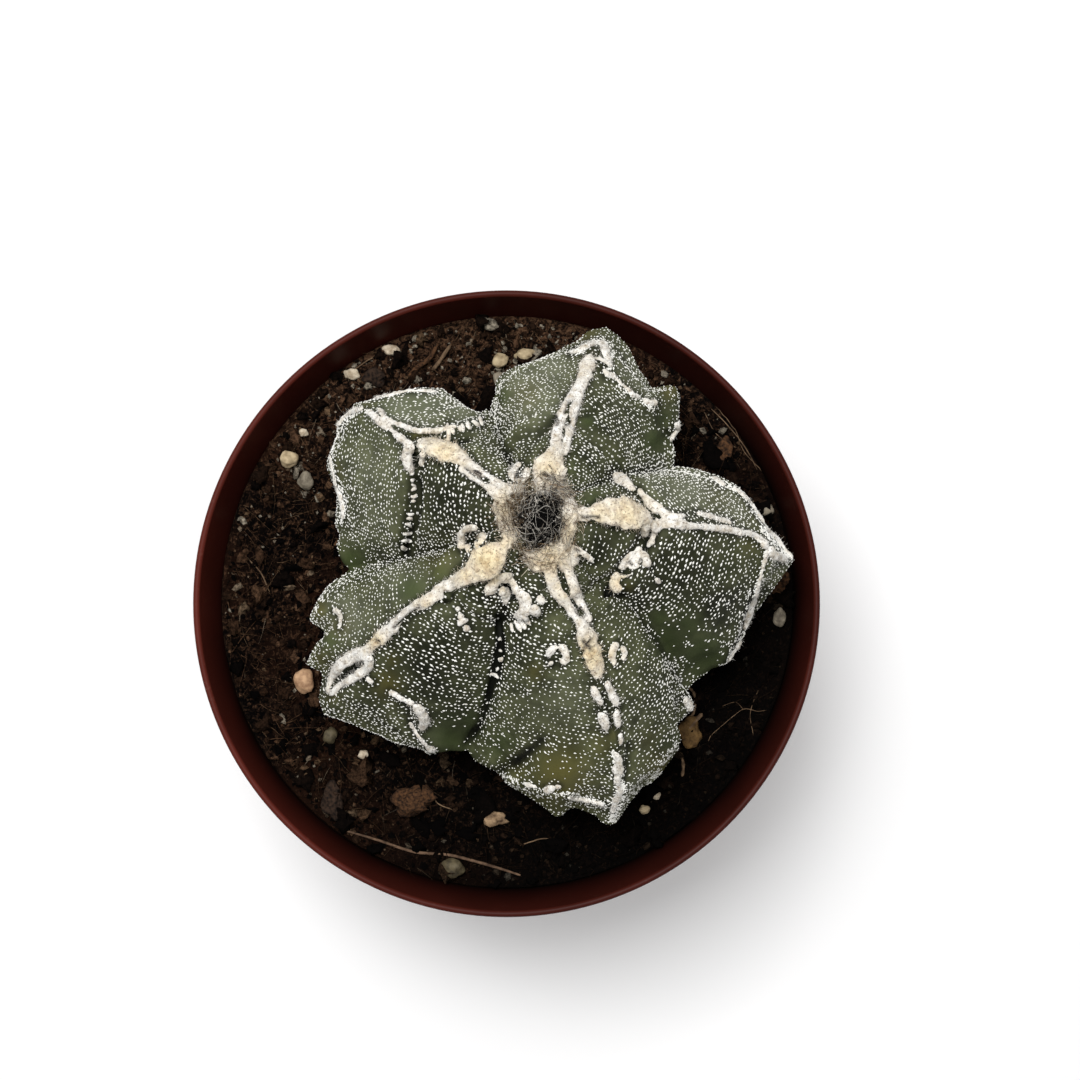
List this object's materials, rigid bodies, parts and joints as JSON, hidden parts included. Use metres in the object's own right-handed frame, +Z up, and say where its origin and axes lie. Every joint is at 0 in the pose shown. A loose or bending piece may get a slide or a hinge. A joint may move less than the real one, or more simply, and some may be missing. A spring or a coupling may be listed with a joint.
{
  "type": "potted bishops cap cactus",
  "caption": "Squat ribbed spineless cactus with white-flecked green skin and woolly crests, leaning a little in dark peat in a round plastic grower's pot.",
  "frame": {"origin": "centre of the pot's underside", "axes": "+Z up along the pot's axis; +Y is the side towards which the plant leans, the top of the picture"},
  "size_m": [0.12, 0.12, 0.1404],
  "materials": {
    "pot_plastic": "reddish brown injection-moulded plastic, satin",
    "peat": "damp dark peat with fibres",
    "cactus_skin": "grey-green skin with fine raised white flecks",
    "cream_wool": "felted cream and white wool",
    "dark_hair": "tangled charcoal hair",
    "pale_stone": "rough pale grit",
    "bark": "dry brown bark and root"
  },
  "bodies": {
    "root": {"pot": "pot_plastic", "soil": "peat", "cactus_body": "cactus_skin", "crest_wool": "cream_wool", "apex_tuft": "dark_hair", "stone_01": "pale_stone", "stone_02": "pale_stone", "stone_03": "pale_stone", "stone_04": "pale_stone", "stone_05": "pale_stone", "stone_06": "pale_stone", "stone_07": "pale_stone", "stone_08": "pale_stone", "stone_09": "pale_stone", "stone_10": "pale_stone", "stone_11": "pale_stone", "stone_12": "pale_stone", "stone_13": "pale_stone", "stone_14": "pale_stone", "stone_15": "pale_stone", "stone_16": "pale_stone", "bark_chip_1": "bark", "bark_chip_2": "bark", "bark_chip_3": "bark", "bark_chip_4": "bark", "bark_chip_5": "bark", "bark_chip_6": "bark", "bark_chip_7": "bark", "root_fibre": "bark", "twig": "bark"}
  },
  "joints": []
}
